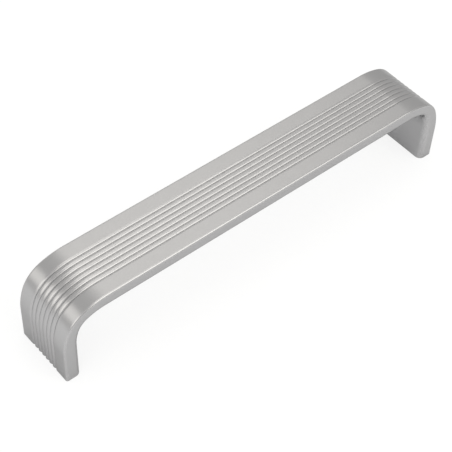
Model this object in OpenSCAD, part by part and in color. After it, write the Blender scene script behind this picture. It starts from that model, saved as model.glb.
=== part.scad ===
// Furniture handle: a wide flat bar bent down into two legs, for a drawer or
// a cupboard door. The outer face is reeded: a row of narrow valleys with
// rounded ribs between them runs down one leg, over both bends and the strap,
// and down the other leg to its foot.
//
// Frame: the feet stand on z = 0 and the finger gap is open towards -z.
// X runs along the handle, Y across it, and the origin lies midway between
// the two screw holes, on the plane that meets the drawer front.

/* [Fixing] */
// Distance between the two screw holes, centre to centre
hole_span = 160; // [96:32:320]
// Distance from the outer face of a leg to the axis of its screw hole
hole_inset = 3; // [2.75:0.05:3.25]
// Drilled diameter of a screw hole before it is tapped for an M4 screw
tap_drill_d = 3.3; // [3.2:0.1:3.6]
// Depth of the full diameter of a screw hole
hole_depth = 14; // [8:1:16]
// Diameter of the countersink at the mouth of a screw hole
mouth_d = 4.3; // [4:0.1:4.4]
// Full angle of the countersink
mouth_angle = 90; // [80:5:120]
// Full angle of the drill point at the blind end of a screw hole
drill_point = 118; // [90:1:135]

/* [Bar] */
// Width of the bar across the handle
bar_w = 25; // [22:1:36]
// Thickness of the bar, the same in the legs and in the strap
bar_t = 5.75; // [5.5:0.25:7]
// Height of the handle from its feet to the top of the strap
projection = 31.5; // [28:0.5:45]

/* [Bends] */
// Radius of the outer face in the middle of a bend
outer_bend_r = 12.5; // [10:0.5:14]
// Radius of the outer face in the gentle arcs of a bend
outer_ease_r = 26; // [20:1:28]
// Radius of the inner face in the middle of a bend
inner_bend_r = 6; // [5:0.5:7]
// Radius of the inner face in the gentle arcs of a bend
inner_ease_r = 17; // [12:1:18]

/* [Edges] */
// Radius of the two long edges of the outer face
outer_edge_r = 1.2; // [0.4:0.1:1.6]
// Radius of the two long edges of the inner face, where the fingers pull
inner_edge_r = 2.5; // [1:0.25:3]

/* [Reeding] */
// Number of valleys in the outer face
valley_count = 7; // [3:1:8]
// Distance from one valley to the next
valley_pitch = 2; // [1.5:0.1:2.4]
// Depth of a valley below the plain bands beside the reeding
valley_depth = 0.45; // [0.3:0.05:0.5]
// Width of a valley between the edges of its two ribs
valley_w = 0.6; // [0.4:0.05:0.8]
// Height of a rib's crest above its edges
rib_crown = 0.12; // [0.05:0.01:0.2]

/* [Hidden] */

// Length that a cutting shape runs on past the surface that it cuts
past = 1;
// Distance that a section stays off the axis of the bend that carries it
axis_clear = 0.5;
// Sides of a full circle in the edges, in the ribs, and in the bends and holes
section_sides = 48;
rib_sides = 96;
bend_sides = 72;

// Direction from the centre of a gentle arc to its end. 44, 117 and 125 are
// the sides of a right-angled triangle, so it turns 20.61 degrees and the
// centres of all arcs lie at round decimals, where they meet exactly.
ease_cos = 117 / 125;
ease_sin = 44 / 125;
// Distance that a sector runs out from its centre, past every bend
sector_reach = 100;

// Half of the overall length, from the middle to the outer face of a leg
half_length = hole_span / 2 + hole_inset;
// The finger gap: half its length, and its height
gap_half = half_length - bar_t;
gap_h = projection - bar_t;

// Radius of a rib: its arc rises by the crown from one edge to the crest
rib_half = (valley_pitch - valley_w) / 2;
rib_r = (pow(rib_half, 2) + pow(rib_crown, 2)) / (2 * rib_crown);
// Place of the first valley across the bar
first_valley = -(valley_count - 1) / 2 * valley_pitch;

satin_metal = [0.76, 0.76, 0.75];

// A section is drawn with x across the bar and y as the depth below the
// surface that it follows.

// What is taken off a square edge at the origin, which fills x < 0 and y > 0,
// to round it to radius r
module edge_cut(r) {
    difference() {
        translate([-r, -past])
            square([r + past, r + past]);
        translate([-r, r])
            circle(r, $fn = section_sides);
    }
}

// What is taken off to leave one V-shaped valley between two rounded ribs
module valley_cut() {
    difference() {
        translate([-valley_pitch / 2, -past])
            square([valley_pitch, rib_crown + past]);
        for (side = [-1, 1])
            translate([side * valley_pitch / 2, rib_r])
                circle(rib_r, $fn = rib_sides);
    }
    polygon([
        [0, -past],
        [valley_w / 2, rib_crown],
        [0, valley_depth],
        [-valley_w / 2, rib_crown]
    ]);
}

// The outer side of the bar: plain bands, rounded edges and the reeding.
// It is drawn nearly as deep as the radius in the middle of a bend, and the
// finger gap cuts it back to the bar's thickness.
module outer_section() {
    difference() {
        translate([-bar_w / 2, 0])
            square([bar_w, outer_bend_r - axis_clear]);
        for (side = [0, 1])
            mirror([side, 0])
                translate([bar_w / 2, 0])
                    edge_cut(outer_edge_r);
        for (i = [0 : valley_count - 1])
            translate([first_valley + i * valley_pitch, 0])
                valley_cut();
    }
}

// The mouth of the finger gap, which flares at both sides of the bar and so
// rounds the long edges of the inner face
module gap_section() {
    translate([-bar_w / 2 - past, 0])
        square([bar_w + 2 * past, inner_bend_r - axis_clear]);
    for (side = [0, 1])
        mirror([side, 0])
            translate([bar_w / 2, 0])
                mirror([0, 1])
                    edge_cut(inner_edge_r);
}

// Carries a section through one arc of a bend, which turns about centre and
// lies between the directions from and to
module carry_arc(centre, r, from, to) {
    translate([centre[0], 0, centre[1]])
        rotate([90, 0, 0])
            intersection() {
                rotate_extrude(angle = 90, $fn = bend_sides)
                    translate([r, 0])
                        rotate(90)
                            children();
                linear_extrude(bar_w + 4 * past, center = true)
                    polygon([[0, 0], sector_reach * from, sector_reach * to]);
            }
}

// Carries a section through a bend that starts at [x, z] on a leg: a gentle
// arc, the tight middle and a gentle arc again, which meet without a corner
module carry_bend(start, bend_r, ease_r) {
    off = ease_r - bend_r;
    rising = [ease_cos, ease_sin];
    falling = [ease_sin, ease_cos];
    first = [start[0] - ease_r, start[1]];
    middle = first + off * rising;
    last = middle - off * falling;
    carry_arc(first, ease_r, [1, -1], rising)
        children();
    carry_arc(middle, bend_r, rising, falling)
        children();
    carry_arc(last, ease_r, falling, [-1, 1])
        children();
}

// Length that a whole bend takes up along a leg, and again along the strap
function bend_reach(bend_r, ease_r) =
    ease_r + (ease_r - bend_r) * (ease_sin - ease_cos);

// Carries a section round the handle: up a leg, round a bend, along the strap
// and down again. The surface that it follows is half_run from the middle and
// rise above the feet, and below is how far the legs run past the feet.
module carry_round(half_run, rise, bend_r, ease_r, below = 0) {
    reach = bend_reach(bend_r, ease_r);
    for (side = [0, 1])
        mirror([side, 0, 0]) {
            translate([half_run, 0, -below])
                linear_extrude(rise - reach + below)
                    rotate(90)
                        children();
            carry_bend([half_run, rise - reach], bend_r, ease_r)
                children();
        }
    translate([0, 0, rise])
        rotate([0, 90, 0])
            linear_extrude(2 * (half_run - reach), center = true)
                rotate(-90)
                    children();
}

// The space that the fingers reach into, with its flared mouths. The core
// fills what the carried section leaves open, and laps over it.
module finger_gap() {
    carry_round(gap_half, gap_h, inner_bend_r, inner_ease_r, past)
        gap_section();
    core_depth = inner_bend_r - 2 * axis_clear;
    core_h = gap_h - core_depth;
    core_half = gap_half - core_depth;
    translate([-core_half, -bar_w / 2 - past, -past])
        cube([2 * core_half, bar_w + 2 * past, core_h + past]);
}

// A blind hole for an M4 screw: its countersink, its bore and its drill point
module screw_hole() {
    mouth_depth = (mouth_d - tap_drill_d) / 2 / tan(mouth_angle / 2);
    point_depth = tap_drill_d / 2 / tan(drill_point / 2);
    translate([0, 0, -past])
        cylinder(d = tap_drill_d, h = hole_depth + past, $fn = bend_sides);
    cylinder(d1 = mouth_d, d2 = tap_drill_d, h = mouth_depth, $fn = bend_sides);
    translate([0, 0, hole_depth])
        cylinder(d1 = tap_drill_d, d2 = 0, h = point_depth, $fn = bend_sides);
}

module handle() {
    color(satin_metal)
        difference() {
            carry_round(half_length, projection, outer_bend_r, outer_ease_r)
                outer_section();
            finger_gap();
            for (side = [-1, 1])
                translate([side * hole_span / 2, 0, 0])
                    screw_hole();
        }
}

handle();
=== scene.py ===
# %% [markdown]
# # A reeded handle for a drawer or a cupboard door
#
# The real handle is one piece of metal. A flat bar, much wider than it is thick, is bent down
# at both ends into two legs, and a screw comes through the drawer front into each foot. Seven
# narrow valleys run the whole way round the outer face, from one foot to the other.
#
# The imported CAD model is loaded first. It fixes the handle's place and its sizes, and this
# script gives it finer surfaces, a real finish, light and a camera. Everything is in metres.

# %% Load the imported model
import math

import bmesh
import bpy
import numpy as np
from mathutils import Matrix, Vector


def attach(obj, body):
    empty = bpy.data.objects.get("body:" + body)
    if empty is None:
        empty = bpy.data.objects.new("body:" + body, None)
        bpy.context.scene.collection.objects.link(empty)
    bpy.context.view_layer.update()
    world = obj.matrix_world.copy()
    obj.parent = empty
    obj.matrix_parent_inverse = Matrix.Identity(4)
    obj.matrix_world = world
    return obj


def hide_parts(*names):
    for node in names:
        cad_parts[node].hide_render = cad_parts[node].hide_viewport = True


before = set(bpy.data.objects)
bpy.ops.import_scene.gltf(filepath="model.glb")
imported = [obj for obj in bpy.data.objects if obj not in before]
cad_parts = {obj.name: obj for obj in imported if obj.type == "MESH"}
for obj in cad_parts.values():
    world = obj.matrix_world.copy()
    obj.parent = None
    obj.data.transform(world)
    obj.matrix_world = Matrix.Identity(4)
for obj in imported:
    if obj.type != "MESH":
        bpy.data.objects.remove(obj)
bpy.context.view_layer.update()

# %% [markdown]
# ## The sizes
#
# These are the sizes of the CAD model, apart from four fine ones: here the ribs are rounder and
# the valleys narrower, and the long edges a little sharper, because that is how the light lies
# on the real handle. The outer face and the finger gap follow two separate bent lines. A bend
# is no plain quarter circle: a gentle arc leads into it and another one out of it, with a
# tighter one between. A gentle arc turns by the small angle of a right-angled triangle with
# sides 44, 117 and 125. The two lines have bends of their own, and the bar is a little thinner
# where it turns the most, as on a bar that is bent over a former.

# %% Sizes, in metres
MM = 0.001
BAR_WIDTH = 25 * MM
BAR_THICKNESS = 5.75 * MM
HOLE_SPAN = 160 * MM
HOLE_INSET = 3 * MM
PROJECTION = 31.5 * MM
OUTER_BEND = 12.5 * MM
OUTER_EASE = 26 * MM
INNER_BEND = 6 * MM
INNER_EASE = 17 * MM
EASE_TURN = math.asin(44 / 125)
OUTER_EDGE = 0.8 * MM
INNER_EDGE = 2.2 * MM
VALLEYS = 7
PITCH = 2 * MM
VALLEY_DEPTH = 0.45 * MM
VALLEY_WIDTH = 0.3 * MM
RIB_CROWN = 0.28 * MM

HALF_WIDTH = BAR_WIDTH / 2
HALF_LENGTH = HOLE_SPAN / 2 + HOLE_INSET
GAP_HALF = HALF_LENGTH - BAR_THICKNESS
GAP_HEIGHT = PROJECTION - BAR_THICKNESS
print("overall, mm:", 2 * HALF_LENGTH / MM, BAR_WIDTH / MM, PROJECTION / MM)

# %% [markdown]
# ## The reeding
#
# Each rib is an arc, and a narrow valley with straight walls lies between two ribs. On real
# metal no corner is perfectly sharp, so the lip of a wall and the bottom of a valley are
# softened here. A bump texture could draw the ribs, but they show in the outline of the foot
# and they catch the light in rows, so they are real geometry. One formula gives the depth at
# any place across the bar.

# %% Depth of the outer face across the bar
RIB_HALF = (PITCH - VALLEY_WIDTH) / 2
RIB_RADIUS = (RIB_HALF**2 + RIB_CROWN**2) / (2 * RIB_CROWN)
RIB_SLOPE = RIB_HALF / (RIB_RADIUS - RIB_CROWN)
WALL_SLOPE = (VALLEY_DEPTH - RIB_CROWN) / (VALLEY_WIDTH / 2)
REED_HALF = VALLEYS * PITCH / 2
LIP = 0.07 * MM
NOSE = 0.08 * MM


def softened(place, corner, width, turn):
    """What a rounded corner adds to a line that changes its slope by turn at one place. It is a
    parabola within the width on both sides: turn * (width - distance)^2 / (4 * width)."""
    inside = np.maximum(width - np.abs(place - corner), 0)
    return turn * inside**2 / (4 * width)


def reed_depth(across):
    """Depth below the plain bands. A point that lies t from the nearest crest is
    r - sqrt(r^2 - t^2) deep on the rib, and from its edge on it follows the straight wall."""
    t = PITCH / 2 - np.abs((across + REED_HALF) % PITCH - PITCH / 2)
    rib = RIB_RADIUS - np.sqrt(RIB_RADIUS**2 - np.minimum(t, RIB_HALF) ** 2)
    depth = rib + WALL_SLOPE * np.maximum(t - RIB_HALF, 0)
    depth = depth + softened(t, RIB_HALF, LIP, WALL_SLOPE - RIB_SLOPE)
    depth = depth - softened(t, PITCH / 2, NOSE, 2 * WALL_SLOPE)
    return np.where(np.abs(across) < REED_HALF, depth, 0)


samples = np.linspace(-HALF_WIDTH, HALF_WIDTH, 2001)
print("deepest valley, mm:", reed_depth(samples).max() / MM)

# %% [markdown]
# ## The section of the bar
#
# The section is a closed loop of points. Every point has a place across the bar, a depth below
# the line that it follows, and a share: 0 follows the outer line, 1 follows the line of the
# finger gap, and the points of the flat sides lie in between.

# %% The section as one loop of points
RIB_STEPS = 5
LIP_STEPS = 3
NOSE_STEPS = 2
FILLET_STEPS = 10
BAND_STEPS = 3
FACE_STEPS = 11
SIDE_STEPS = 4


def places_between(start, end, steps):
    """The places that divide a stretch into equal steps, without its two ends."""
    return np.linspace(start, end, steps + 1)[1:-1]


def reeding_places():
    """Places across the reeding, close together where the form turns: the arc of a rib, its
    lip, and the bottom of the valley, which starts where the lip ends. They are given from one
    crest to its valley, then turned back to the next crest, and repeated for every valley."""
    stretches = ((0, RIB_HALF - LIP, RIB_STEPS),
                 (RIB_HALF - LIP, PITCH / 2 - NOSE, LIP_STEPS),
                 (PITCH / 2 - NOSE, PITCH / 2, NOSE_STEPS))
    half = np.concatenate([np.linspace(start, end, steps, endpoint=False)
                           for start, end, steps in stretches])
    one = np.concatenate([half, [PITCH / 2], PITCH - half[:0:-1]])
    starts = -REED_HALF + PITCH * np.arange(VALLEYS)[:, None]
    return np.append(starts + one, REED_HALF)


def outer_side():
    """From the near side to the far side over the outer face. An edge of radius r is
    r * sin(a) out and r * (1 - cos(a)) down, for a from 90 degrees to 0. Between the edges the
    depth is that of the reeding."""
    angle = np.linspace(np.pi / 2, 0, FILLET_STEPS + 1)
    edge_across = HALF_WIDTH - OUTER_EDGE + OUTER_EDGE * np.sin(angle)
    edge_depth = OUTER_EDGE * (1 - np.cos(angle))
    band = places_between(HALF_WIDTH - OUTER_EDGE, REED_HALF, BAND_STEPS)
    reeding = reeding_places()
    across = np.concatenate([-edge_across, -band, reeding, band[::-1], edge_across[::-1]])
    flat = np.zeros_like(band)
    depth = np.concatenate([edge_depth, flat, reed_depth(reeding), flat, edge_depth[::-1]])
    return across, depth


def inner_side():
    """From the far side back to the near side over the inner face. The edges are arcs as above,
    but they rise from the line, so their depth is negative."""
    angle = np.linspace(np.pi / 2, 0, FILLET_STEPS + 1)
    edge_across = HALF_WIDTH - INNER_EDGE + INNER_EDGE * np.sin(angle)
    edge_depth = -INNER_EDGE * (1 - np.cos(angle))
    face = places_between(HALF_WIDTH - INNER_EDGE, INNER_EDGE - HALF_WIDTH, FACE_STEPS)
    across = np.concatenate([edge_across, face, -edge_across[::-1]])
    depth = np.concatenate([edge_depth, np.zeros_like(face), edge_depth[::-1]])
    return across, depth


def bar_section():
    """The whole loop: outer face, far side, inner face, near side. Its last point is its first
    one again, so that a surface carried along it closes."""
    out_across, out_depth = outer_side()
    in_across, in_depth = inner_side()
    side = places_between(0, 1, SIDE_STEPS)
    whole = np.ones_like(side)
    across = [out_across, whole * HALF_WIDTH, in_across, whole * -HALF_WIDTH]
    outer = [out_depth, whole * OUTER_EDGE, np.zeros_like(in_across), whole * OUTER_EDGE]
    inner = [np.zeros_like(out_across), whole * -INNER_EDGE, in_depth, whole * -INNER_EDGE]
    share = [np.zeros_like(out_across), side, np.ones_like(in_across), side[::-1]]
    loop = np.stack([np.concatenate(part) for part in (across, outer, inner, share)])
    return np.concatenate([loop, loop[:, :1]], axis=1)


section = bar_section()
print("points round the section:", section.shape[1] - 1)

# %% [markdown]
# ## The bent line
#
# Both lines run up a leg, round a bend, along the strap and down again. The two have the same
# number of stations, so a station on one belongs to the same station on the other. The first
# station lies a little above the floor, where the foot's edge is broken.

# %% Stations along the handle
EDGE_BREAK = 0.12 * MM
LEG_STEPS = 12
EASE_STEPS = 12
MIDDLE_STEPS = 20
STRAP_STEPS = 26


def bent_line(half_run, rise, bend, ease):
    """Places x and z and the unit normal of a U-shaped line, from the left foot to the right. A
    leg stands at x = half_run and the strap lies at z = rise. Between them the line is centre +
    radius * (cos(a), sin(a)) for a from 0 to 90 degrees. The radius is ease up to EASE_TURN
    from both ends and bend between. Each change moves the centre by (ease - bend) along the
    radius, so the line has no corner. The left half is the right half with x turned to -x."""
    middle = np.linspace(EASE_TURN, np.pi / 2 - EASE_TURN, MIDDLE_STEPS + 1)
    gentle = np.linspace(0, EASE_TURN, EASE_STEPS + 1)
    turn = np.concatenate([gentle[:-1], middle, np.pi / 2 - gentle[-2::-1]])
    entered, left_again = turn > EASE_TURN, turn > np.pi / 2 - EASE_TURN
    step = (ease - bend) * np.array([math.cos(EASE_TURN), math.sin(EASE_TURN)])
    reach = ease + step[1] - step[0]
    radius = np.where(entered & ~left_again, bend, ease)
    bend_x = half_run - ease + step[0] * entered - step[1] * left_again + radius * np.cos(turn)
    bend_z = rise - reach + step[1] * entered - step[0] * left_again + radius * np.sin(turn)
    up = np.linspace(EDGE_BREAK, rise - reach, LEG_STEPS + 1)[:-1]
    along = np.linspace(half_run - reach, 0, STRAP_STEPS + 1)[1:]
    x = np.concatenate([np.full_like(up, half_run), bend_x, along])
    z = np.concatenate([up, bend_z, np.full_like(along, rise)])
    nx = np.concatenate([np.ones_like(up), np.cos(turn), np.zeros_like(along)])
    nz = np.concatenate([np.zeros_like(up), np.sin(turn), np.ones_like(along)])
    right = np.stack([x, z, nx, nz])
    left = right * np.array([[-1], [1], [-1], [1]])
    return np.concatenate([left, right[:, -2::-1]], axis=1)


outer_line = bent_line(HALF_LENGTH, PROJECTION, OUTER_BEND, OUTER_EASE)
inner_line = bent_line(GAP_HALF, GAP_HEIGHT, INNER_BEND, INNER_EASE)
print("stations:", outer_line.shape[1])

# %% [markdown]
# ## Carrying the section along the bar
#
# This is the main surface, a grid of stations by section points. Blender could bevel a curve
# or extrude a face along it, but the section here follows two lines at once, and that takes
# one formula. The texture coordinates are real lengths, along the bar and round the section,
# so the grain of the metal can follow the bends.

# %% The main surface
def carried(line, across, depth):
    """The section on one line: the point at depth d lies at the line's place minus d times its
    normal. Result: station x section point x 3."""
    x, z, nx, nz = line[:, :, None]
    flat_across = np.broadcast_to(across, (line.shape[1], across.size))
    return np.stack([x - nx * depth, flat_across, z - nz * depth], axis=-1)


def bar_surface():
    """Each point is (1 - share) times its place on the outer line plus share times its place
    on the line of the gap."""
    across, outer, inner, share = section
    on_outer = carried(outer_line, across, outer)
    on_inner = carried(inner_line, across, inner)
    return on_outer + (on_inner - on_outer) * share[None, :, None]


def running_length(points):
    """Distance from the first point, added up along the line."""
    steps = np.linalg.norm(np.diff(points, axis=0), axis=1)
    return np.concatenate([[0], np.cumsum(steps)])


def grid_faces(rows, columns):
    """Four-sided faces between neighbouring rows and columns of a grid whose points are
    numbered row by row."""
    corner = np.arange(rows - 1)[:, None] * columns + np.arange(columns - 1)
    return np.stack([corner, corner + columns, corner + columns + 1, corner + 1], -1).reshape(-1, 4)


bar = bar_surface()
along_bar = running_length(outer_line[:2].T)
round_bar = running_length(np.stack([section[0], (1 - section[3]) * section[1]
                                     + section[3] * (BAR_THICKNESS + section[2])], axis=1))
print("along the bar, mm:", along_bar[-1] / MM, "round it, mm:", round_bar[-1] / MM)

# %% [markdown]
# ## Painted shade in the valleys, and worn edges
#
# Two numbers go with each point. The first is painted shade: it is 0 on the ribs and bands and
# grows down the walls of a valley, where shade falls. It would be 1 at the point of a sharp one,
# and stays a little below that at the softened bottom. The edge is 1 in the middle of a rounded
# edge, where a cloth and hands rub the most. The finish reads both.

# %% Painted shade in the valleys, and worn edges
def valley_shade_amount():
    """How far a point of a valley's wall lies below the ribs' edges, over the wall's height. It is
    painted shade, which darkens the metal where shade falls in a valley.
    """
    below = (reed_depth(section[0]) - RIB_CROWN) / (VALLEY_DEPTH - RIB_CROWN)
    reeded = np.clip(below, 0, 1)
    return np.where(section[3] == 0, reeded, 0)


def edge_amount():
    """For a rounded edge, sin(2a) of the angle a round it, found from how far the point has
    dropped over the radius. It is 0 on the faces and 1 half-way round."""
    outer = np.clip(1 - section[1] / OUTER_EDGE, -1, 1)
    inner = np.clip(1 + section[2] / INNER_EDGE, -1, 1)
    on_outer = (section[3] == 0) & (np.abs(section[0]) > REED_HALF)
    on_inner = section[3] == 1
    outer_edges = np.where(on_outer, 2 * outer * np.sqrt(1 - outer**2), 0)
    inner_edges = np.where(on_inner, 2 * inner * np.sqrt(1 - inner**2), 0)
    return outer_edges + inner_edges


painted_shade = np.tile(valley_shade_amount(), (outer_line.shape[1], 1))
edge = np.tile(edge_amount(), (outer_line.shape[1], 1))
print("hollow up to", painted_shade.max(), "edge up to", edge.max())

# %% [markdown]
# ## The feet
#
# A leg is sawn off square, so its foot shows the section, valleys and all, with its sharp
# edge just broken. A fan of faces from the outline to the round hole would fold over itself at
# the valleys. So a plain rounded oblong lies between: every outline point has its own place on
# it, and from there it is simple to reach the hole.

# %% Rings on a foot
MOUTH_RADIUS = 2.15 * MM
HOLE_SIDES = 48
OBLONG_RADIUS = 2.35 * MM
OBLONG_REACH = HALF_WIDTH - INNER_EDGE - 0.2 * MM


def foot_rings():
    """Three rings as across and depth. The first is the outline at the edge break, the second
    is the same at the floor and stands in by the break, and the third lies on an oblong round
    the screw hole. A point moves straight towards the nearest point of the oblong's spine, so
    no two paths cross."""
    across, outer, inner, share = section[:, :-1]
    outline = np.stack([across, (1 - share) * outer + share * (BAR_THICKNESS + inner)], axis=1)
    on_spine = np.clip(across, -OBLONG_REACH, OBLONG_REACH)
    spine = np.stack([on_spine, np.full_like(across, HOLE_INSET)], axis=1)
    away = outline - spine
    distance = np.linalg.norm(away, axis=1, keepdims=True)
    broken = spine + away * (1 - EDGE_BREAK / distance)
    oblong = spine + away / distance * OBLONG_RADIUS
    return outline, broken, oblong


def between_rings(outer_angle, inner_angle):
    """Triangles between two rings round one centre. All points are taken in order of their
    angle. Each closes a triangle with the one before it on its own ring and with the latest
    one on the other ring. Points of the inner ring are numbered after those of the outer."""
    count, inner_count = outer_angle.size, inner_angle.size
    both = np.concatenate([outer_angle, inner_angle])
    order = np.argsort(both, kind="stable")
    is_outer = order < count
    latest_outer = np.argsort(outer_angle, kind="stable")[(np.cumsum(is_outer) - 1) % count]
    latest_inner = np.argsort(inner_angle, kind="stable")[(np.cumsum(~is_outer) - 1) % inner_count]
    before_outer = np.roll(latest_outer, 1)
    before_inner = np.roll(latest_inner, 1)
    third = np.where(is_outer, before_outer, count + before_inner)
    return np.stack([latest_outer, third, count + latest_inner], axis=1)


outline, broken, oblong = foot_rings()
print("foot rings of", len(outline), "points; the mouth of the hole has", HOLE_SIDES)

# %% [markdown]
# ## The threaded holes
#
# Each foot takes an M4 machine screw. A tap cuts the thread after drilling, so from the mouth
# inwards there is a small countersink, the thread, a stretch of plain bore and the cone of the
# drill. The CAD model keeps to the tap drill's size. Here one formula gives the radius at every
# angle and height, and the whole hole is one grid. The helix is right-handed in both feet, so
# the left hole isn't a mirror image of the right one.

# %% One threaded hole
BORE_RADIUS = 1.65 * MM
THREAD_DEPTH = 0.33 * MM
THREAD_PITCH = 0.7 * MM
THREAD_END = 11.5 * MM
THREAD_FADE = 1.5 * THREAD_PITCH
TIP_FLAT = 0.28
ROOT_START = 0.86
HOLE_DEPTH = 14 * MM
POINT_ANGLE = math.radians(118 / 2)
ROWS_PER_TURN = 12


def hole_radius(angle, height):
    """The largest of the countersink, which narrows by as much as it rises, and the thread. The
    thread is a triangle wave of the helix's phase, height / pitch - angle / full turn, whose
    tips and roots are cut flat, and it fades out over the last turn and a half."""
    phase = height / THREAD_PITCH - angle / (2 * np.pi)
    wave = np.abs(2 * (phase % 1) - 1)
    groove = np.clip((wave - TIP_FLAT) / (ROOT_START - TIP_FLAT), 0, 1) * THREAD_DEPTH
    fade = np.clip((THREAD_END - height) / THREAD_FADE, 0, 1)
    return np.maximum(BORE_RADIUS + groove * fade, MOUTH_RADIUS - height)


def hole_surface(centre_x):
    """Rows of heights from the mouth to the drill's tip, columns of angles round the axis. Past
    the full depth the radius shrinks evenly to nothing at the tip."""
    tip = HOLE_DEPTH + BORE_RADIUS / math.tan(POINT_ANGLE)
    threaded = np.linspace(0, THREAD_END, int(THREAD_END / THREAD_PITCH * ROWS_PER_TURN) + 1)
    height = np.concatenate([threaded, [HOLE_DEPTH, tip]])[:, None]
    angle = np.linspace(0, 2 * np.pi, HOLE_SIDES + 1)[None, :]
    radius = hole_radius(angle, height)
    radius[-1] = 0
    return np.stack([centre_x + radius * np.cos(angle), radius * np.sin(angle),
                     np.broadcast_to(height, radius.shape)], axis=-1)


print("hole grid:", hole_surface(HOLE_SPAN / 2).shape[:2])

# %% [markdown]
# ## One closed mesh
#
# The surfaces are put into one list of points and faces, with texture coordinates and the two
# numbers for painted shade and worn edges beside them. Points that lie on each other along the
# seams are then merged, so the handle is closed, like the solid that it stands for.

# %% Collect the surfaces
parts = []


def add_part(points, faces, lengths, shade_part, edge_part):
    """Keeps one surface: its points, its faces, its texture coordinates and its two numbers."""
    parts.append((points.reshape(-1, 3), faces, lengths.reshape(-1, 2),
                  np.ravel(shade_part), np.ravel(edge_part)))


def add_foot(side):
    """The rings and the triangles of one foot. On the left foot the order of the points is
    turned, so that its faces also look down."""
    depth_and_height = ((outline, EDGE_BREAK), (broken, 0), (oblong, 0))
    rings = np.stack([np.stack([side * (HALF_LENGTH - ring[:, 1]), ring[:, 0],
                                np.full(len(ring), height)], axis=1)
                      for ring, height in depth_and_height])
    closed = np.concatenate([rings, rings[:, :1]], axis=1)
    walls = grid_faces(*closed.shape[:2])[:, ::side]
    plain = np.zeros(closed.shape[:2])
    add_part(closed, walls, closed[..., :2], plain, plain)
    turn = np.arange(HOLE_SIDES) * 2 * np.pi / HOLE_SIDES
    mouth = np.stack([side * HOLE_SPAN / 2 + MOUTH_RADIUS * np.cos(turn),
                      MOUTH_RADIUS * np.sin(turn), np.zeros(HOLE_SIDES)], axis=1)
    centred = rings[2] - np.array([side * HOLE_SPAN / 2, 0, 0])
    angle = np.arctan2(centred[:, 1], centred[:, 0]) % (2 * np.pi)
    flat = np.concatenate([rings[2], mouth])
    plain = np.zeros(len(flat))
    add_part(flat, between_rings(angle, turn), flat[:, :2], plain, plain)


lengths = np.stack(np.broadcast_arrays(along_bar[:, None], round_bar[None, :]), axis=-1)
add_part(bar, grid_faces(*bar.shape[:2]), lengths, painted_shade, edge)
for side in (-1, 1):
    add_foot(side)
    hole = hole_surface(side * HOLE_SPAN / 2)
    hole_lengths = np.stack([hole[..., 2], np.hypot(hole[..., 0], hole[..., 1])], axis=-1)
    # The walls of each hole get the full painted shade, so the metal inside is darker.
    add_part(hole, grid_faces(*hole.shape[:2]), hole_lengths, np.ones(hole.shape[:2]),
             np.zeros(hole.shape[:2]))
print("surfaces:", len(parts), "faces:", sum(len(part[1]) for part in parts))

# %% Put them into a mesh
MERGE_DISTANCE = 0.002 * MM
SHARP_ANGLE = math.radians(30)


def joined_mesh(name):
    """One mesh from all surfaces. Each surface's faces are numbered on from the points before."""
    starts = np.cumsum([0] + [len(part[0]) for part in parts])
    points = np.concatenate([part[0] for part in parts])
    faces = [face for part, start in zip(parts, starts) for face in (part[1] + start).tolist()]
    mesh = bpy.data.meshes.new(name)
    mesh.from_pydata(points.tolist(), [], faces)
    corners = np.empty(len(mesh.loops), dtype=np.int32)
    mesh.loops.foreach_get("vertex_index", corners)
    lengths_all = np.concatenate([part[2] for part in parts])
    mesh.uv_layers.new(name="lengths").data.foreach_set("uv", lengths_all[corners].ravel())
    # The first number is painted shade in the valleys and holes, the second is edge wear.
    for column, label in ((3, "painted_shade"), (4, "edge")):
        values = np.concatenate([part[column] for part in parts])
        mesh.attributes.new(label, "FLOAT", "POINT").data.foreach_set("value", values)
    return mesh


def close_seams(mesh):
    """Merges the points that lie on each other, and marks the edges that turn too far to be
    shaded smoothly."""
    work = bmesh.new()
    work.from_mesh(mesh)
    bmesh.ops.remove_doubles(work, verts=work.verts, dist=MERGE_DISTANCE)
    open_edges = sum(len(e.link_faces) != 2 for e in work.edges)
    volume = work.calc_volume(signed=True)
    work.to_mesh(mesh)
    work.free()
    mesh.shade_smooth()
    mesh.set_sharp_from_angle(angle=SHARP_ANGLE)
    return open_edges, volume


handle_mesh = joined_mesh("handle_bar")
open_edges, volume = close_seams(handle_mesh)
print("open edges:", open_edges, "volume, mm3:", volume / MM**3,
      "triangles:", sum(len(p.vertices) - 2 for p in handle_mesh.polygons))

# %% The handle as an object
handle = bpy.data.objects.new("handle_bar", handle_mesh)
bpy.context.scene.collection.objects.link(handle)
shading = handle.modifiers.new("even_shading", "WEIGHTED_NORMAL")
shading.keep_sharp = True
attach(handle, "root")
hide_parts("handle")

# %% [markdown]
# ## The finish
#
# The metal is blasted with fine grit and then anodised, which gives an even satin sheen. Very
# fine grain lies in it, and faint lines run along the bar, left by the die that drew it. A
# metal has no colour of its own apart from what it reflects, so its base colour is how much it
# gives back, and the roughness decides how soft the reflections are. Seen at a low angle, plain
# metal turns into a bright mirror. The grit keeps this one duller, and a grey tint for grazing
# angles stands for that.

# %% Small helpers for nodes
def add_node(tree, kind, inputs=None, **settings):
    """Makes one node, sets its settings, and fills its inputs by name or number: a socket is
    linked, and anything else is set as the value."""
    node = tree.nodes.new(kind)
    for name, value in settings.items():
        setattr(node, name, value)
    for name, value in (inputs or {}).items():
        if isinstance(value, bpy.types.NodeSocket):
            tree.links.new(value, node.inputs[name])
        else:
            node.inputs[name].default_value = value
    return node


def times_plus(tree, value, factor, addend):
    """value * factor + addend, as one Math node."""
    node = add_node(tree, "ShaderNodeMath", {0: value, 1: factor, 2: addend},
                    operation="MULTIPLY_ADD")
    return node.outputs[0]


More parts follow.
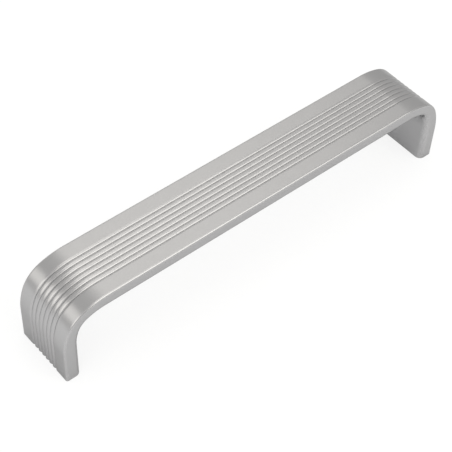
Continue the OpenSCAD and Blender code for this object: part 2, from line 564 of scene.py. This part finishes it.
# %% Satin metal
METAL_BRIGHT = (0.44, 0.439, 0.449, 1)
METAL = (0.413, 0.412, 0.421, 1)
# The next colour is the dull end of the tone, which the painted shade of valleys and holes reaches.
METAL_DULL_AND_SHADED = (0.36, 0.359, 0.367, 1)
METAL_MARK = 0.375
# The third tone is how far the painted shade darkens the valleys and holes.
CLOUD_TONE, GRIT_TONE, SHADE_TONE, EDGE_TONE = 0.08, 0.15, 0.45, -0.1
ROUGHNESS = 0.3
CLOUD_SHEEN, LINE_SHEEN, EDGE_SHEEN = 0.06, 0.04, -0.03
GRAZING_TINT = (0.65, 0.65, 0.65, 1)
LINE_STRETCH = (40.0, 2600.0, 1.0)
LINE_RELIEF = 0.35
GRAIN_HEIGHT = 0.02 * MM
GRAIN_STRENGTH = 0.12


def noise(tree, place, scale, detail, roughness):
    """A noise whose features are about 1 / scale metres wide. It is one half on average."""
    node = add_node(tree, "ShaderNodeTexNoise", {"Vector": place, "Scale": scale,
                    "Detail": detail, "Roughness": roughness})
    return node.outputs["Fac"]


def metal_patterns(tree):
    """Three noises: soft clouds of about 4 mm, the grit's grain of a quarter of a millimetre,
    and lines that are 25 mm long along the bar and 0.4 mm wide."""
    place = add_node(tree, "ShaderNodeTexCoord")
    stretched = add_node(tree, "ShaderNodeMapping", {"Vector": place.outputs["UV"],
                         "Scale": LINE_STRETCH})
    cloud = noise(tree, place.outputs["Object"], scale=260.0, detail=3.0, roughness=0.6)
    grit = noise(tree, place.outputs["Object"], scale=4200.0, detail=2.0, roughness=0.6)
    lines = noise(tree, stretched.outputs["Vector"], scale=1.0, detail=3.0, roughness=0.55)
    return cloud, grit, lines


def satin_metal():
    """The tone picks the base colour: 0 is bright, the mark is plain metal and 1 is dull and
    shaded. It is the mark, plus each noise less its half, plus the painted shade's share in the
    valleys and holes, less the worn edge's share. The roughness is made in the same way, and
    the bump adds grain and lines."""
    material = bpy.data.materials.new("satin_metal")
    material.use_nodes = True
    tree = material.node_tree
    shader = tree.nodes["Principled BSDF"]
    cloud, grit, lines = metal_patterns(tree)
    painted_shade_value = add_node(tree, "ShaderNodeAttribute", attribute_name="painted_shade").outputs["Fac"]
    edge_value = add_node(tree, "ShaderNodeAttribute", attribute_name="edge").outputs["Fac"]

    tone = times_plus(tree, cloud, CLOUD_TONE, METAL_MARK - (CLOUD_TONE + GRIT_TONE) / 2)
    tone = times_plus(tree, grit, GRIT_TONE, tone)
    # Painted shade: the metal darkens down the valley walls and inside the holes.
    tone = times_plus(tree, painted_shade_value, SHADE_TONE, tone)
    tone = times_plus(tree, edge_value, EDGE_TONE, tone)
    ramp = add_node(tree, "ShaderNodeValToRGB", {0: tone})
    stops = ramp.color_ramp.elements
    stops[0].position, stops[0].color = 0.0, METAL_BRIGHT
    stops[1].position, stops[1].color = 1.0, METAL_DULL_AND_SHADED
    stops.new(METAL_MARK).color = METAL

    sheen = times_plus(tree, cloud, CLOUD_SHEEN, ROUGHNESS - (CLOUD_SHEEN + LINE_SHEEN) / 2)
    sheen = times_plus(tree, lines, LINE_SHEEN, sheen)
    sheen = times_plus(tree, edge_value, EDGE_SHEEN, sheen)
    relief = times_plus(tree, lines, LINE_RELIEF, grit)
    bump = add_node(tree, "ShaderNodeBump", {"Height": relief, "Strength": GRAIN_STRENGTH,
                    "Distance": GRAIN_HEIGHT})
    shader.inputs["Metallic"].default_value = 1.0
    shader.inputs["Specular Tint"].default_value = GRAZING_TINT
    tree.links.new(ramp.outputs["Color"], shader.inputs["Base Color"])
    tree.links.new(sheen, shader.inputs["Roughness"])
    tree.links.new(bump.outputs["Normal"], shader.inputs["Normal"])
    return material


handle.data.materials.append(satin_metal())
print("finish:", [slot.material.name for slot in handle.material_slots])

# %% [markdown]
# ## The floor
#
# The handle stands on its feet on a wide white table, which fills the whole picture. The table
# is matt, so it shows only a soft shadow, and it throws light back up under the strap. In a
# studio such a table is lit from below too, until it is a plain white. Here that is a share of
# glow: a large one that only the camera sees, and a small one in what the metal mirrors. So the
# ground is white in the picture and the metal keeps its own tone. The table lies a hair below
# the feet, because two faces in one plane show as specks.

# %% Floor
FLOOR_RADIUS = 4.0
FLOOR_SIDES = 64
FLOOR_DROP = 0.02 * MM
TABLE_WHITE = (0.95, 0.96, 0.98, 1)
TABLE_ROUGHNESS = 0.9
TABLE_SHINE = 0.1
GLOW_SEEN = 0.8
GLOW_MIRRORED = 0.1


def floor_disc():
    """One round face, whose rim is radius * cos(a), radius * sin(a), at FLOOR_DROP below the
    feet."""
    spoke = np.linspace(0, 2 * np.pi, FLOOR_SIDES, endpoint=False)
    rim = np.stack([FLOOR_RADIUS * np.cos(spoke), FLOOR_RADIUS * np.sin(spoke),
                    np.full_like(spoke, -FLOOR_DROP)], axis=1)
    mesh = bpy.data.meshes.new("table_top")
    mesh.from_pydata(rim.tolist(), [], [list(range(FLOOR_SIDES))])
    return mesh


def glowing_table():
    """Matt white mixed with plain white glow. The glow's share is GLOW_SEEN for rays from the
    camera, GLOW_MIRRORED for rays that come by a reflection or through glass, and 0 for those
    that carry light."""
    material = bpy.data.materials.new("white_table")
    material.use_nodes = True
    tree = material.node_tree
    matt = tree.nodes["Principled BSDF"]
    matt.inputs["Base Color"].default_value = TABLE_WHITE
    matt.inputs["Roughness"].default_value = TABLE_ROUGHNESS
    matt.inputs["Specular IOR Level"].default_value = TABLE_SHINE
    ray = add_node(tree, "ShaderNodeLightPath")
    mirrored = add_node(tree, "ShaderNodeMath", {0: ray.outputs["Is Glossy Ray"],
                        1: ray.outputs["Is Transmission Ray"]}, operation="MAXIMUM")
    mirrored = times_plus(tree, mirrored.outputs[0], GLOW_MIRRORED, 0.0)
    share = times_plus(tree, ray.outputs["Is Camera Ray"], GLOW_SEEN, mirrored)
    glow = add_node(tree, "ShaderNodeEmission", {"Strength": 1.0})
    both = add_node(tree, "ShaderNodeMixShader", {0: share, 1: matt.outputs[0], 2: glow.outputs[0]})
    tree.links.new(both.outputs[0], tree.nodes["Material Output"].inputs["Surface"])
    return material


table_top = bpy.data.objects.new("table_top", floor_disc())
bpy.context.scene.collection.objects.link(table_top)
table_top.data.materials.append(glowing_table())
print("table across, m:", 2 * FLOOR_RADIUS)

# %% [markdown]
# ## The light
#
# Satin metal is lit by what it mirrors, so it needs large soft shapes more than strong lamps. A
# pale room gives the level of the parts that mirror no lamp. Seen from the camera, a large
# bright soft box stands in front on the right and lights the slopes of the ribs and edges that
# face that way. One overhead and one behind the handle light the strap, and a low one behind
# adds a little to it. One on the left and one in front on the left draw the soft bands on the
# left bend. The boxes are a little warm and the table is a little cool, so the top of the
# handle is slightly warmer than its sides.

# %% Room and soft boxes
ROOM_LEVEL = 0.78
ROOM_TINT = (1.0, 0.99, 0.96, 1)
PLAIN_WHITE = (1, 1, 1, 1)
BOX_TINT = (1.0, 0.975, 0.91)
BOX_DISTANCE = 2.4


def pale_room():
    """The same pale light from every side. The camera itself sees plain white in its place, so
    that the picture stays white where a view looks past the table."""
    world = bpy.data.worlds.new("pale_room")
    world.use_nodes = True
    tree = world.node_tree
    room = tree.nodes["Background"]
    room.inputs["Color"].default_value = ROOM_TINT
    room.inputs["Strength"].default_value = ROOM_LEVEL
    white = add_node(tree, "ShaderNodeBackground", {"Color": PLAIN_WHITE, "Strength": 1.0})
    ray = add_node(tree, "ShaderNodeLightPath")
    both = add_node(tree, "ShaderNodeMixShader", {0: ray.outputs["Is Camera Ray"],
                    1: room.outputs[0], 2: white.outputs[0]})
    tree.links.new(both.outputs[0], tree.nodes["World Output"].inputs["Surface"])
    bpy.context.scene.world = world


def soft_box(name, turn, rise, width, height, brightness):
    """A lamp that faces the handle from a direction given by its angle round from +X and its
    angle above the table. Its power is pi * width * height * brightness, so that at brightness
    1 its face looks like white paper."""
    lamp = bpy.data.lights.new(name, "AREA")
    lamp.shape = "RECTANGLE"
    lamp.size, lamp.size_y = width, height
    lamp.energy = math.pi * width * height * brightness
    lamp.color = BOX_TINT
    turn, rise = math.radians(turn), math.radians(rise)
    level = math.cos(rise)
    away = Vector((math.cos(turn) * level, math.sin(turn) * level, math.sin(rise)))
    holder = bpy.data.objects.new(name, lamp)
    holder.rotation_euler = away.to_track_quat("Z", "Y").to_euler()
    holder.location = away * BOX_DISTANCE
    bpy.context.scene.collection.objects.link(holder)
    print(name, "power, W:", round(lamp.energy, 3))


pale_room()
soft_box("near_box", turn=292, rise=43, width=1.80, height=1.80, brightness=1.8)
soft_box("overhead_box", turn=15, rise=80, width=1.60, height=1.40, brightness=1.15)
soft_box("strap_box", turn=58, rise=50, width=1.30, height=0.80, brightness=0.75)
soft_box("back_box", turn=72, rise=10, width=1.60, height=0.60, brightness=1.0)
soft_box("bend_box", turn=148, rise=32, width=1.40, height=1.20, brightness=0.85)
soft_box("left_box", turn=198, rise=32, width=2.10, height=1.60, brightness=1.25)

# %% [markdown]
# ## The camera
#
# The camera looks down across the handle with a long lens, from the side of the left foot. It
# is given by its place, its turn round the upright axis and the angle at which it looks down,
# and it leans a little to one side. The view transform is the plain one, which shows a colour
# as it is written.

# %% Camera
CAMERA_PLACE = Vector((-199.719, -212.804, 341.499)) * MM
CAMERA_TURN = math.radians(-42.1503)
CAMERA_ELEVATION = math.radians(49.0357)
CAMERA_LEAN = math.radians(3.1539)
LENS = 101.475
NEAREST, FURTHEST = 0.01, 20

camera = bpy.data.objects.new("camera", bpy.data.cameras.new("camera"))
camera.data.lens = LENS
camera.data.clip_start, camera.data.clip_end = NEAREST, FURTHEST
tilt = math.pi / 2 - CAMERA_ELEVATION
turned = Matrix.Rotation(CAMERA_TURN, 4, "Z") @ Matrix.Rotation(tilt, 4, "X")
leaned = turned @ Matrix.Rotation(CAMERA_LEAN, 4, "Z")
camera.rotation_euler = leaned.to_euler()
camera.location = CAMERA_PLACE
bpy.context.scene.collection.objects.link(camera)
bpy.context.scene.camera = camera
bpy.context.scene.view_settings.view_transform = "Standard"
print("camera, mm:", [round(value / MM, 3) for value in camera.location], "lens, mm:", LENS)
